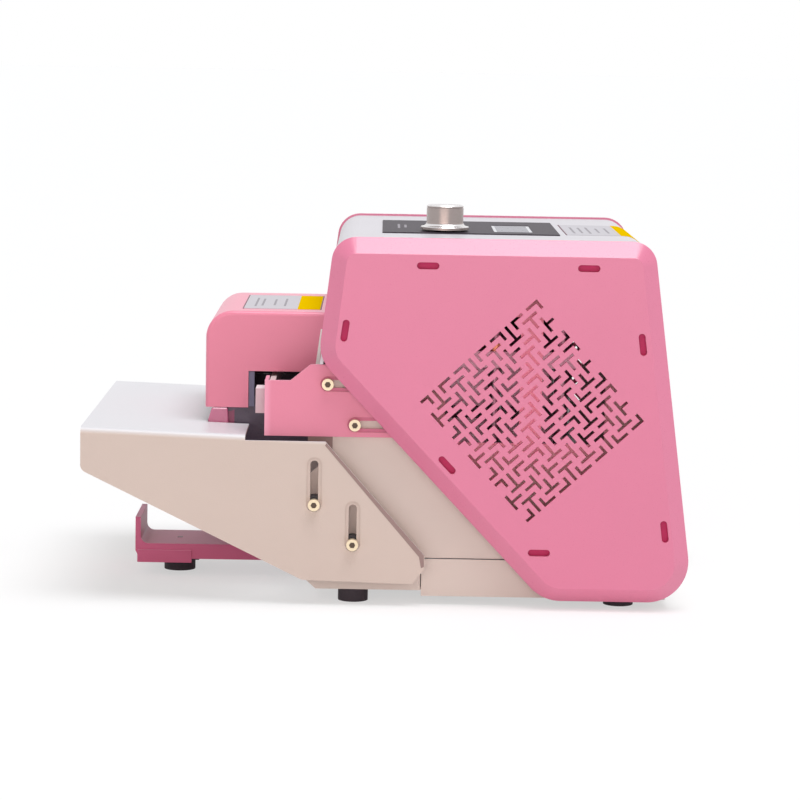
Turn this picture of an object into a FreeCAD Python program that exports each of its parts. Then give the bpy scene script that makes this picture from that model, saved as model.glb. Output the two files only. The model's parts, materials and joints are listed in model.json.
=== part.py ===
import FreeCAD, Part
import math
import os
import re
import Sketcher

# Desktop card die cutting machine, millimetres.
# X runs from the feed side to the rear, Y across the machine, Z up from the floor.

SIZES = {
    "overall_width": 300,
    "table_front": -220.8,
    "body_top": 268.5,
    "cover_bottom": 6,
    "cover_front_top": -39.5,
    "cover_knee_x": -50,
    "cover_knee_z": 181,
    "cover_heel_x": 115.5,
    "cover_tail_x": 225.2,
    "cover_rear_top": 190,
    "cover_depth": 14,
    "cover_wall": 3,
    "cover_bevel": 11,
    "round_top": 18,
    "round_knee": 27,
    "round_heel": 30,
    "round_tail": 30,
    "vent_length": 16,
    "vent_width": 5,
    "grille_pitch": 5.76,
    "grille_line": 2.2,
    "grille_x": 104,
    "grille_z": 146,
    "grille_turn": 47.5,
    "panel_inset": 1.5,
    "panel_sheet": 2.5,
    "panel_front_end": 176,
    "panel_rear_end": 70,
    "plate_setback": 20,
    "plate_sheet": 3,
    "plate_margin": 8,
    "pan_bottom": 10.5,
    "pan_sheet": 2,
    "pan_front": -50,
    "pan_rear": 210,
    "strip_front": 27,
    "strip_bottom": 6.6,
    "strip_top": 34,
    "strip_sheet": 4,
    "seam_gap": 0.6,
    "lobe_front": -66,
    "bracket_front": -88.6,
    "bracket_bottom": 123,
    "bracket_low_top": 163.4,
    "bracket_top": 175.4,
    "bracket_rear": 8,
    "bracket_sheet": 2.5,
    "bracket_return": 30,
    "bracket_travel": 12,
    "slide_gap": 0.3,
    "screw_size": 5,
    "screw_head": 8.5,
    "screw_head_tall": 5,
    "screw_socket": 4.6,
    "slot_width": 5.8,
    "recess_width": 11,
    "recess_depth": 0.8,
    "bracket_screw_a_x": -43,
    "bracket_screw_a_z": 161.4,
    "bracket_screw_b_x": -23,
    "bracket_screw_b_z": 132,
    "table_screw_a_x": -51.7,
    "table_screw_a_z": 74.6,
    "table_screw_b_x": -23.5,
    "table_screw_b_z": 45.9,
    "table_travel": 14,
    "table_setback": 8,
    "table_sheet": 2,
    "table_top": 128.3,
    "table_drop": 3.9,
    "table_front_low": 97,
    "table_strip_end": -102,
    "table_cut_x": -133,
    "table_cut_y": 81,
    "skirt_step": 4,
    "skirt_bottom": 17,
    "skirt_toe_x": -59.7,
    "skirt_heel_x": 20,
    "skirt_tip_x": 29,
    "skirt_tip_z": 38,
    "skirt_peak_x": -44,
    "fold_round": 4.5,
    "spacer_size": 12,
    "head_front": -134.8,
    "head_width": 156,
    "head_top": 208,
    "head_bottom": 136.2,
    "head_cut_x": -103,
    "head_cut_z": 163.5,
    "head_wall": 2.5,
    "head_round": 20,
    "head_edge": 3,
    "arm_sheet": 3,
    "arm_front": -129,
    "arm_rear": 14,
    "arm_low": 104,
    "arm_top": 156,
    "gate_low": 147,
    "gate_high": 160,
    "gate_thick": 4,
    "roller_front_x": -117,
    "roller_rear_x": -3,
    "roller_axis_high": 139.5,
    "roller_high": 24,
    "nip_gap": 1,
    "roller_low": 18,
    "roller_gap": 5.5,
    "belt_clear": 6,
    "shaft_size": 8,
    "run_fit": 0.05,
    "bush_size": 13,
    "pulley_size": 12,
    "pulley_width": 7,
    "belt_thick": 1.5,
    "belt_width": 6,
    "feed_motor_side": 42,
    "motor_gap": 10.5,
    "motor_plate": 3,
    "cross_x": -36,
    "cross_sheet": 3,
    "cross_top": 165,
    "die_x": 80,
    "shoe_length": 130,
    "shoe_low": 100,
    "shoe_thick": 12,
    "die_length": 106,
    "die_width": 76,
    "die_thick": 14,
    "card_length": 86,
    "card_width": 54,
    "punch_clear": 0.1,
    "punch_rise": 8,
    "punch_tall": 36,
    "platen_edge_x": 10,
    "platen_edge_y": 14,
    "bridge_edge": 16,
    "platen_thick": 12,
    "press_travel": 12,
    "post_size": 12,
    "post_span_x": 100,
    "post_span_y": 144,
    "bush_wall": 3,
    "bridge_low": 222,
    "bridge_thick": 10,
    "bridge_front": 12,
    "bridge_rear": 188,
    "lead_screw": 10,
    "nut_size": 20,
    "nut_tall": 18,
    "drive_pulley": 24,
    "drive_pulley_tall": 9,
    "drive_lift": 2,
    "press_motor_side": 42,
    "press_motor_tall": 46,
    "press_motor_x": 167,
    "chute_width": 64,
    "chute_sheet": 2,
    "chute_low_x": -4,
    "chute_low_z": 30,
    "chute_high_x": 138,
    "tray_front": -190,
    "tray_rear": 12,
    "tray_width": 62,
    "tray_top": 24.3,
    "tray_sheet": 3,
    "tray_lip": 44.6,
    "tray_lip_thick": 4,
    "tray_travel": 60,
    "guide_thick": 4,
    "guide_tall": 10,
    "tray_foot_x": -158,
    "tray_foot_size": 24,
    "tray_foot_tall": 11.5,
    "tray_block": 33,
    "foot_size": 22,
    "foot_inset": 36,
    "foot_front_x": -22.7,
    "foot_rear_x": 172.5,
    "overlay_front": -5.5,
    "overlay_rear": 126,
    "overlay_width": 140,
    "overlay_thick": 0.8,
    "lcd_front": 78,
    "lcd_length": 29,
    "lcd_width": 76,
    "lcd_y": -10,
    "lcd_flange": 4,
    "lcd_deep": 7,
    "knob_x": 41,
    "knob_y": -48,
    "knob_body": 27.5,
    "knob_flare": 36,
    "knob_tall": 18.5,
    "knob_rim": 2.6,
    "knob_flare_tall": 3,
    "knob_lift": 1,
    "knob_shaft": 6,
    "knob_press": 0.5,
    "encoder_side": 14,
    "encoder_deep": 9,
    "board_length": 120,
    "board_tall": 80,
    "board_low": 126,
    "board_front": 30,
    "supply_length": 120,
    "supply_width": 70,
    "supply_tall": 36,
    "supply_front": 60,
    "inlet_edge": 80,
    "inlet_width": 48,
    "inlet_tall": 27,
    "inlet_z": 42,
    "inlet_deep": 22,
    "switch_edge": 126,
    "switch_width": 13,
    "switch_tall": 19,
    "switch_deep": 14,
    "exit_width": 130,
    "exit_low": 120,
    "exit_high": 132,
    "standoff_size": 10,
    "vent_top_front_x": 27.6,
    "vent_top_front_z": 249.5,
    "vent_top_rear_x": 142.6,
    "vent_top_rear_z": 249.5,
    "vent_front_x": -31,
    "vent_front_z": 202,
    "vent_rear_high_x": 182.4,
    "vent_rear_high_z": 195.5,
    "vent_slope_x": 43.9,
    "vent_slope_z": 106,
    "vent_heel_x": 111.5,
    "vent_heel_z": 43,
    "vent_rear_low_x": 201.8,
    "vent_rear_low_z": 60,
    "standoff_a_x": -8,
    "standoff_a_z": 236,
    "standoff_b_x": 162,
    "standoff_b_z": 240,
    "standoff_c_x": 186,
    "standoff_c_z": 88,
    "standoff_d_x": 62,
    "standoff_d_z": 88,
    "window_front": 42,
    "window_rear": 158,
    "window_post": 16,
    "window_low": 120,
    "window_high": 212,
    "rocker_pin": 4,
    "rocker_pin_end": 1.5,
    "board_gap": 3.4,
    "board_thick": 1.6,
    "board_chip_tall": 4,
    "board_socket_tall": 10,
    "board_socket_band": 8,
    "board_socket_edge": 2,
    "board_post_size": 6,
    "board_post_edge": 6,
}

# Places that follow from the sizes.
PLACES = {
    "face_y": "overall_width / 2",
    "inlet_y": "face_y - inlet_edge",
    "switch_y": "face_y - switch_edge",
    "rim_y": "face_y - cover_depth",
    "plate_y": "face_y - plate_setback",
    "plate_in": "plate_y - plate_sheet",
    "front_lean": "(cover_front_top - cover_knee_x) / (body_top - cover_knee_z)",
    "rear_lean": "(cover_tail_x - cover_rear_top) / (body_top - cover_bottom)",
    "panel_top": "body_top - panel_inset",
    "panel_under": "panel_top - panel_sheet",
    "panel_front_x": "cover_front_top - (body_top - panel_front_end) * front_lean + panel_inset",
    "panel_rear_x": "cover_rear_top + (body_top - panel_rear_end) * rear_lean - panel_inset",
    "pan_top": "pan_bottom + pan_sheet",
    "table_y": "face_y - table_setback",
    "skirt_in": "table_y - table_sheet",
    "table_rear_top": "table_top - table_drop",
    "skirt_top": "table_rear_top - skirt_step",
    "bracket_in": "plate_y + slide_gap",
    "bracket_y": "bracket_in + bracket_sheet",
    "head_y": "head_width / 2",
    "arm_y": "head_y - head_wall",
    "arm_in": "arm_y - arm_sheet",
    "head_rear_top": "cover_front_top - (body_top - head_top) * front_lean + panel_inset",
    "head_rear_low": "cover_front_top - (body_top - head_cut_z) * front_lean + panel_inset",
    "roller_axis_low": "roller_axis_high - roller_high / 2 - nip_gap - roller_low / 2",
    "pulley_far": "arm_in - roller_gap",
    "pulley_near": "pulley_far - pulley_width",
    "motor_far": "plate_in - motor_gap",
    "platen_length": "post_span_x + 2 * platen_edge_x",
    "platen_width": "post_span_y + 2 * platen_edge_y",
    "bridge_width": "post_span_y + 2 * bridge_edge",
    "shoe_top": "shoe_low + shoe_thick",
    "die_top": "shoe_top + die_thick",
    "punch_low": "die_top + punch_rise",
    "platen_low": "punch_low + punch_tall",
    "platen_top": "platen_low + platen_thick",
    "bridge_top": "bridge_low + bridge_thick",
    "drive_low": "bridge_top + drive_lift",
    "drive_mid": "drive_low + drive_pulley_tall / 2",
    "tray_low": "pan_top + slide_gap",
    "overlay_top": "panel_top + overlay_thick",
    "knob_low": "overlay_top + knob_lift",
    "pan_wall": "pan_rear - pan_sheet",
    "pan_wall_top": "panel_rear_end - seam_gap",
}

doc = FreeCAD.newDocument("die_cutting_machine")
sheet = doc.addObject("Spreadsheet::Sheet", "Sizes")
for row, (alias, size) in enumerate(SIZES.items(), 1):
    sheet.set(f"A{row}", alias)
    sheet.set(f"B{row}", str(size))
    sheet.setAlias(f"B{row}", alias)
doc.recompute()


def sized(text):
    """Turn names of sizes and places into references to the sheet."""
    text = str(text)
    while True:
        spread = re.sub(r"(?<![.\w])[a-z]\w*", lambda hit: f"({PLACES[hit[0]]})"
                        if hit[0] in PLACES else hit[0], text)
        if spread == text:
            break
        text = spread
    return re.sub(r"(?<![.\w])[a-z]\w*", lambda hit: f"Sizes.{hit[0]}"
                  if hit[0] in SIZES else hit[0], text)


def value(text):
    """Work out the number behind an expression."""
    return float(sheet.evalExpression(sized(text)))


def both(half):
    """A span that is centred on the middle plane."""
    return f"-({half})", half


def around(middle, width):
    """A span of a given width round a middle."""
    return f"({middle}) - ({width}) / 2", f"({middle}) + ({width}) / 2"


def side(sign, inner, outer):
    """A span across Y on the right (-1) or left (+1) side."""
    if sign > 0:
        return inner, outer
    return f"-({outer})", f"-({inner})"


def block(label, x, y, z):
    """A box between two places along each axis."""
    box = doc.addObject("Part::Box", label)
    for size, axis, (low, high) in (("Length", "x", x), ("Width", "y", y), ("Height", "z", z)):
        box.setExpression(size, sized(f"({high}) - ({low})"))
        box.setExpression(f"Placement.Base.{axis}", sized(low))
    return box


TURNS = {
    "x": FreeCAD.Rotation(FreeCAD.Vector(0, 1, 0), 90),
    "y": FreeCAD.Rotation(FreeCAD.Vector(1, 0, 0), -90),
    "z": FreeCAD.Rotation(),
}


def rod(label, axis, centre, size, span):
    """A cylinder of a given diameter along one axis."""
    bar = doc.addObject("Part::Cylinder", label)
    bar.Placement = FreeCAD.Placement(FreeCAD.Vector(), TURNS[axis])
    low, high = span
    bar.setExpression("Radius", sized(f"({size}) / 2"))
    bar.setExpression("Height", sized(f"({high}) - ({low})"))
    others = [name for name in "xyz" if name != axis]
    for name, place in zip(others, centre):
        bar.setExpression(f"Placement.Base.{name}", sized(place))
    bar.setExpression(f"Placement.Base.{axis}", sized(low))
    return bar


def join(label, *pieces):
    """One solid out of pieces that touch."""
    union = doc.addObject("Part::MultiFuse", label)
    union.Shapes = list(pieces)
    union.Refine = True
    return union


def several(label, *pieces):
    """A node that holds a group of separate solids."""
    group = doc.addObject("Part::Compound", label)
    group.Links = list(pieces)
    return group


def cut(label, base, *tools):
    """A piece with other shapes taken away from it."""
    result = doc.addObject("Part::Cut", label)
    result.Base = base
    result.Tool = tools[0] if len(tools) == 1 else several(f"{label}_tools", *tools)
    result.Refine = True
    return result


def mirrored(label, source):
    """The same piece on the other side of the middle plane."""
    twin = doc.addObject("Part::Mirroring", label)
    twin.Source = source
    twin.Normal = FreeCAD.Vector(0, 1, 0)
    return twin


def slot(label, axis, across, start, end, width, span):
    """A round-ended slot through a side sheet, running along x or z."""
    radius = f"({width}) / 2"
    band = around(across, width)
    if axis == "x":
        bar = block(f"{label}_bar", (start, end), span, band)
        ends = [(start, across), (end, across)]
    else:
        bar = block(f"{label}_bar", band, span, (start, end))
        ends = [(across, start), (across, end)]
    caps = [rod(f"{label}_cap{n}", "y", place, f"2 * {radius}", span) for n, place in enumerate(ends)]
    return join(label, bar, *caps)


DATUM = 500
PLANES = {"XZ": (1, -1), "YZ": (2, 1), "XY": (0, 1)}
ORIGIN_PLANES = {"XY": "XY_Plane", "XZ": "XZ_Plane", "YZ": "YZ_Plane"}


def profile(label, plane, points, span, rounds=()):
    """A sketched outline padded between two places, with some corners rounded."""
    body = doc.addObject("PartDesign::Body", label)
    sketch = body.newObject("Sketcher::SketchObject", f"{label}_sketch")
    home = [item for item in body.Origin.OriginFeatures if item.Role == ORIGIN_PLANES[plane]][0]
    sketch.AttachmentSupport = [(home, "")]
    sketch.MapMode = "FlatFace"
    spots = [FreeCAD.Vector(DATUM + value(a), DATUM + value(b), 0) for a, b in points]
    for n, spot in enumerate(spots):
        sketch.addGeometry(Part.LineSegment(spot, spots[(n + 1) % len(spots)]), False)
    count = len(spots)
    for n in range(count):
        sketch.addConstraint(Sketcher.Constraint("Coincident", n, 2, (n + 1) % count, 1))
    for n, (a, b) in enumerate(points):
        for kind, text, place in (("DistanceX", a, spots[n].x), ("DistanceY", b, spots[n].y)):
            index = sketch.addConstraint(Sketcher.Constraint(kind, -1, 1, n, 1, place))
            sketch.setExpression(f"Constraints[{index}]", sized(f"{DATUM} + ({text})"))
    low, high = span
    sketch.AttachmentOffset = FreeCAD.Placement(FreeCAD.Vector(-DATUM, -DATUM, 0), FreeCAD.Rotation())
    start = f"-({high})" if plane == "XZ" else low
    sketch.setExpression("AttachmentOffset.Base.z", sized(start))
    pad = body.newObject("PartDesign::Pad", f"{label}_pad")
    pad.Profile = sketch
    pad.setExpression("Length", sized(f"({high}) - ({low})"))
    sketch.Visibility = False
    doc.recompute()
    flat = {"XZ": (0, 2), "YZ": (1, 2), "XY": (0, 1)}[plane]
    for step, (corners, radius) in enumerate(rounds):
        names = []
        before = body.Tip
        for n, edge in enumerate(before.Shape.Edges, 1):
            ends = [vertex.Point for vertex in edge.Vertexes]
            for corner in corners:
                place = [value(text) for text in points[corner]]
                if len(ends) == 2 and all(abs(end[flat[0]] - place[0]) < 1e-3
                                          and abs(end[flat[1]] - place[1]) < 1e-3 for end in ends):
                    names.append(f"Edge{n}")
        fillet = body.newObject("PartDesign::Fillet", f"{label}_round{step}")
        fillet.Base = (before, names)
        fillet.setExpression("Radius", sized(radius))
        doc.recompute()
    return body


def edge_names(shape, wanted):
    """Names of the edges whose middle point passes a test."""
    names = []
    for n, edge in enumerate(shape.Edges, 1):
        middle = edge.valueAt((edge.FirstParameter + edge.LastParameter) / 2)
        if wanted(edge, middle):
            names.append(f"Edge{n}")
    return names


RIGHT, LEFT = -1, 1
NAMES = {RIGHT: "right", LEFT: "left"}
nodes = []

# Side covers: dished plastic shells with a wide bevel, seven vents and a maze grille.
outline = [
    ("cover_front_top", "body_top"),
    ("cover_knee_x", "cover_knee_z"),
    ("cover_heel_x", "cover_bottom"),
    ("cover_tail_x", "cover_bottom"),
    ("cover_rear_top", "body_top"),
]
shell = profile("cover_shell", "XZ", outline, ("-face_y", "-rim_y"), (
    ([0, 4], "round_top"),
    ([1], "round_knee"),
    ([2], "round_heel"),
    ([3], "round_tail"),
))
face_y = -value("face_y")
rim_y = -value("rim_y")
rounded = shell.Tip
bevel = shell.newObject("PartDesign::Chamfer", "cover_bevel_edge")
bevel.Base = (rounded, edge_names(rounded.Shape, lambda edge, spot: abs(spot.y - face_y) < 1e-4
                                  and abs(edge.Vertexes[0].Point.y - face_y) < 1e-4))
bevel.setExpression("Size", sized("cover_bevel"))
doc.recompute()
hollow = shell.newObject("PartDesign::Thickness", "cover_hollow")
back = [f"Face{n}" for n, face in enumerate(bevel.Shape.Faces, 1)
        if abs(face.CenterOfMass.y - rim_y) < 1e-4]
hollow.Base = (bevel, back)
hollow.Reversed = True
hollow.setExpression("Value", sized("cover_wall"))
doc.recompute()

VENT_TURNS = {
    "vent_top_front": 0,
    "vent_top_rear": 0,
    "vent_front": 82,
    "vent_rear_high": -82.5,
    "vent_slope": -46.5,
    "vent_heel": 0,
    "vent_rear_low": -82.5,
}
vents = []
for name, turn in VENT_TURNS.items():
    x, z = f"{name}_x", f"{name}_z"
    c, s = math.cos(math.radians(turn)), math.sin(math.radians(turn))
    reach = "(vent_length - vent_width) / 2"
    bar = doc.addObject("Part::Box", f"{name}_bar")
    bar.setExpression("Length", sized("vent_length - vent_width"))
    bar.setExpression("Width", sized("cover_wall + 2"))
    bar.setExpression("Height", sized("vent_width"))
    bar.Placement = FreeCAD.Placement(FreeCAD.Vector(), FreeCAD.Rotation(FreeCAD.Vector(0, -1, 0), turn))
    bar.setExpression("Placement.Base.x", sized(f"{x} - {reach} * {c:.5f} + vent_width / 2 * {s:.5f}"))
    bar.setExpression("Placement.Base.y", sized("-face_y - 1"))
    bar.setExpression("Placement.Base.z", sized(f"{z} - {reach} * {s:.5f} - vent_width / 2 * {c:.5f}"))
    ends = [rod(f"{name}_end{way}", "y", (f"{x} + {way} * {reach} * {c:.5f}",
                                          f"{z} + {way} * {reach} * {s:.5f}"),
                "vent_width", ("-face_y - 1", "-face_y + cover_wall + 1")) for way in (-1, 1)]
    vent = join(name, bar, *ends)
    vents.append(vent)


GRILLE_COLUMNS = 20
GRILLE_ROWS = 19


def strokes():
    """Grille lines as (column, row, column, row) in grid steps from the middle."""
    short, long, stem = 0.93, 1.45, 1.45
    lines = []
    for column in (0, 7, 14):
        for row in (0, 6, 12, 18):
            full = row < 18
            for corner, way in ((column, 1), (column + 6, -1)):
                lines.append((corner, row, corner + way * short, row))
                lines.append((corner, row, corner, row + (long if full else short)))
                if full:
                    lines.append((corner, row + 4, corner + way * short, row + 4))
                    lines.append((corner, row + 4, corner, row + 4 - long))
            middle = column + 3
            lines.append((middle - short, row + 1, middle + short, row + 1))
            lines.append((middle, row + 1, middle, row + 1 - (1 if row == 0 else stem)))
            if not full:
                continue
            lines.append((middle - short, row + 3, middle + short, row + 3))
            lines.append((middle, row + 3, middle, row + 3 + stem))
            for bar, tip, level in (
                (column + 1, column + 1 + stem, row + 2),
                (column + 5, column + 5 - stem, row + 2),
                (column + 2, column, row + 5),
                (column + 4, column + 6, row + 5),
            ):
                lines.append((bar, level - short, bar, level + short))
                lines.append((bar, level, tip, level))
    middle_x = GRILLE_COLUMNS / 2
    middle_z = GRILLE_ROWS / 2
    return [(a - middle_x, b - middle_z, c - middle_x, d - middle_z) for a, b, c, d in lines]


def grille_cutter():
    """Boxes along every grille line, fused where two lines meet."""
    pitch = SIZES["grille_pitch"]
    half = SIZES["grille_line"] / 2
    deep = SIZES["cover_wall"] + 2
    boxes = []
    for a, b, c, d in strokes():
        low_x = min(a, c) * pitch - half
        low_z = min(b, d) * pitch - half
        wide = abs(c - a) * pitch + 2 * half
        tall = abs(d - b) * pitch + 2 * half
        boxes.append(Part.makeBox(wide, deep, tall, FreeCAD.Vector(low_x, 0, low_z)))
    pairs = [boxes[n].fuse(boxes[n + 1]).removeSplitter() for n in range(0, len(boxes), 2)]
    return Part.makeCompound(pairs)


grille = doc.addObject("Part::Feature", "grille_cutter")
grille.Shape = grille_cutter()
grille.Placement = FreeCAD.Placement(
    FreeCAD.Vector(), FreeCAD.Rotation(FreeCAD.Vector(0, 1, 0), SIZES["grille_turn"])
    * FreeCAD.Rotation(FreeCAD.Vector(1, 0, 0), 180))
grille.setExpression("Placement.Base.x", sized("grille_x"))
grille.setExpression("Placement.Base.y", sized("-face_y + cover_wall + 1"))
grille.setExpression("Placement.Base.z", sized("grille_z"))
right_cover = cut("right_side_cover", shell, grille, *vents)
left_cover = mirrored("left_side_cover", right_cover)
nodes += [right_cover, left_cover]

# Bent panel over the front, top and rear, held between the two covers.
wrap = profile("wrap_sheet", "XZ", [
    ("panel_front_x", "panel_front_end"),
    ("cover_front_top + panel_inset", "panel_top"),
    ("cover_rear_top - panel_inset", "panel_top"),
    ("panel_rear_x", "panel_rear_end"),
    ("panel_rear_x - panel_sheet", "panel_rear_end"),
    ("cover_rear_top - panel_inset - panel_sheet", "panel_under"),
    ("cover_front_top + panel_inset + panel_sheet", "panel_under"),
    ("panel_front_x + panel_sheet", "panel_front_end"),
], both("rim_y"), (
    ([1, 2], "round_top - panel_inset"),
    ([5, 6], "round_top - panel_inset - panel_sheet"),
))
lcd_hole = block("lcd_hole", ("lcd_front", "lcd_front + lcd_length"), around("lcd_y", "lcd_width"),
                 ("panel_under - 1", "overlay_top + 1"))
shaft_hole = rod("shaft_hole", "z", ("knob_x", "knob_y"), "knob_shaft + 4",
                 ("panel_under - 1", "overlay_top + 1"))
exit_hole = block("exit_hole", ("pan_wall - 20", "cover_tail_x"), both("exit_width / 2"),
                  ("exit_low", "exit_high"))
nodes.append(cut("wrap_panel", wrap, lcd_hole, shaft_hole, exit_hole))
overlay = block("overlay_sheet", ("overlay_front", "overlay_rear"), both("overlay_width / 2"),
                ("panel_top", "overlay_top"))
nodes.append(cut("control_overlay", overlay, lcd_hole, shaft_hole))
lcd_window = block("lcd_window", ("lcd_front", "lcd_front + lcd_length"), around("lcd_y", "lcd_width"),
                   ("panel_under - lcd_deep", "overlay_top - 0.4"))
lcd_frame = block("lcd_frame", ("lcd_front - lcd_flange", "lcd_front + lcd_length + lcd_flange"),
                  around("lcd_y", "lcd_width + 2 * lcd_flange"), ("panel_under - lcd_deep", "panel_under"))
nodes.append(join("lcd_module", lcd_window, lcd_frame))

# Encoder under the panel, its sprung shaft and the turned knob.
encoder = block("encoder_case", around("knob_x", "encoder_side"), around("knob_y", "encoder_side"),
                ("panel_under - encoder_deep", "panel_under"))
encoder_bore = rod("encoder_bore", "z", ("knob_x", "knob_y"), "knob_shaft + 2 * run_fit",
                   ("panel_under - encoder_deep + 2", "panel_under + 1"))
nodes.append(cut("encoder_body", encoder, encoder_bore))
nodes.append(rod("encoder_shaft", "z", ("knob_x", "knob_y"), "knob_shaft",
                 ("panel_under - encoder_deep + 2 + 2 * knob_press", "knob_low + knob_tall - 4")))
knob_outline = [
    ("0.001", "knob_low"),
    ("knob_flare / 2", "knob_low"),
    ("knob_flare / 2", "knob_low + knob_rim"),
    ("knob_body / 2", "knob_low + knob_rim + knob_flare_tall"),
    ("knob_body / 2", "knob_low + knob_tall - 1.5"),
    ("knob_body / 2 - 1.5", "knob_low + knob_tall"),
    ("0.001", "knob_low + knob_tall"),
]


def turned(label, points, x, y):
    """A sketched half outline turned round an upright axis."""
    body = doc.addObject("PartDesign::Body", label)
    sketch = body.newObject("Sketcher::SketchObject", f"{label}_sketch")
    home = [item for item in body.Origin.OriginFeatures if item.Role == "XZ_Plane"][0]
    sketch.AttachmentSupport = [(home, "")]
    sketch.MapMode = "FlatFace"
    spots = [FreeCAD.Vector(value(a), value(b), 0) for a, b in points]
    for n, spot in enumerate(spots):
        sketch.addGeometry(Part.LineSegment(spot, spots[(n + 1) % len(spots)]), False)
    for n in range(len(spots)):
        sketch.addConstraint(Sketcher.Constraint("Coincident", n, 2, (n + 1) % len(spots), 1))
    for n, (a, b) in enumerate(points):
        if a == "0.001":
            sketch.addConstraint(Sketcher.Constraint("PointOnObject", n, 1, -2))
        else:
            index = sketch.addConstraint(Sketcher.Constraint("DistanceX", -1, 1, n, 1, spots[n].x))
            sketch.setExpression(f"Constraints[{index}]", sized(a))
        index = sketch.addConstraint(Sketcher.Constraint("DistanceY", -1, 1, n, 1, spots[n].y))
        sketch.setExpression(f"Constraints[{index}]", sized(b))
    turn = body.newObject("PartDesign::Revolution", f"{label}_turn")
    turn.Profile = sketch
    turn.ReferenceAxis = (sketch, ["V_Axis"])
    turn.Angle = 360
    sketch.Visibility = False
    body.setExpression("Placement.Base.x", sized(x))
    body.setExpression("Placement.Base.y", sized(y))
    doc.recompute()
    return body


knob_solid = turned("knob_solid", knob_outline, "knob_x", "knob_y")
knob_bore = rod("knob_bore", "z", ("knob_x", "knob_y"), "knob_shaft + 2 * run_fit",
                ("knob_low - 1", "knob_low + knob_tall - 4 + 2 * run_fit"))
nodes.append(cut("control_knob", knob_solid, knob_bore))

# Frame: side plates, base pan with rear wall, base strips, cross plate and feet.
plate = profile("plate_sheet", "XZ", [
    ("pan_front", "pan_bottom"),
    ("lobe_front", "pan_bottom + 14"),
    ("lobe_front", "table_screw_a_z + 12"),
    ("cross_x - plate_sheet", "bracket_bottom - 14"),
    ("cross_x - plate_sheet", "bracket_bottom"),
    ("bracket_screw_a_x - 12", "bracket_bottom"),
    ("bracket_screw_a_x - 12", "bracket_screw_a_z + 8"),
    ("cover_front_top + 2", "bracket_screw_a_z + 8"),
    ("cover_front_top + plate_margin + 4", "body_top - plate_margin - 2"),
    ("cover_rear_top - plate_margin", "body_top - plate_margin - 2"),
    ("cover_tail_x - 4 - plate_margin", "strip_top + seam_gap"),
    ("strip_front - seam_gap", "strip_top + seam_gap"),
    ("strip_front - seam_gap", "pan_bottom"),
], ("-plate_y", "-plate_in"))
plate_cuts = [
    block("window_front", ("window_front", "grille_x - window_post / 2"), ("-plate_y - 1", "-plate_in + 1"),
          ("window_low", "window_high")),
    block("window_rear", ("grille_x + window_post / 2", "window_rear"), ("-plate_y - 1", "-plate_in + 1"),
          ("window_low", "window_high")),
]
SCREWS = {
    "bracket_a": ("bracket_screw_a_x", "bracket_screw_a_z"),
    "bracket_b": ("bracket_screw_b_x", "bracket_screw_b_z"),
    "table_a": ("table_screw_a_x", "table_screw_a_z"),
    "table_b": ("table_screw_b_x", "table_screw_b_z"),
}
for name, place in SCREWS.items():
    plate_cuts.append(rod(f"plate_hole_{name}", "y", place, "screw_size", ("-plate_y - 1", "-plate_in + 1")))
right_plate = cut("right_side_plate", plate, *plate_cuts)
left_plate = mirrored("left_side_plate", right_plate)
nodes += [right_plate, left_plate]

floor = block("pan_floor", ("pan_front", "pan_rear"), both("plate_in"), ("pan_bottom", "pan_top"))
wall = block("pan_wall_sheet", ("pan_wall", "pan_rear"), both("plate_in"), ("pan_bottom", "pan_wall_top"))
inlet_hole = block("inlet_hole", ("pan_wall - 1", "pan_rear + 1"), around("inlet_y", "inlet_width"),
                   around("inlet_z", "inlet_tall"))
switch_hole = block("switch_hole", ("pan_wall - 1", "pan_rear + 1"), around("switch_y", "switch_width + 4"),
                    around("inlet_z", "switch_tall + 4"))
nodes.append(cut("base_pan", join("pan_sheet", floor, wall), inlet_hole, switch_hole))
for sign in (RIGHT, LEFT):
    nodes.append(block(f"{NAMES[sign]}_base_strip", ("strip_front", "cover_tail_x - 20"),
                       side(sign, "plate_in", "plate_in + strip_sheet"), ("strip_bottom", "strip_top")))
cross = block("cross_sheet", ("cross_x", "cross_x + cross_sheet"), both("plate_in"), ("pan_top", "cross_top"))
feed_gate = block("feed_opening", ("cross_x - 1", "cross_x + cross_sheet + 1"), both("arm_y"),
                  ("arm_low", "arm_top"))
tray_gate = block("tray_opening", ("cross_x - 1", "cross_x + cross_sheet + 1"),
                  both("tray_width / 2 + guide_thick + 2"), ("pan_top - 1", "tray_top + 40"))
nodes.append(cut("front_cross_plate", cross, feed_gate, tray_gate))
feet = []
for x in ("foot_front_x", "foot_rear_x"):
    for sign in (RIGHT, LEFT):
        feet.append(rod(f"foot_{x}_{NAMES[sign]}", "z", (x, f"{sign} * (face_y - foot_inset)"), "foot_size",
                        ("0", "pan_bottom")))
nodes.append(several("rubber_feet", *feet))
standoffs = []
for n in "abcd":
    x, z = f"standoff_{n}_x", f"standoff_{n}_z"
    for sign in (RIGHT, LEFT):
        standoffs.append(rod(f"standoff_{n}_{NAMES[sign]}", "y", (x, z), "standoff_size",
                             side(sign, "plate_y", "face_y - cover_wall")))
nodes.append(several("cover_standoffs", *standoffs))

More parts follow.
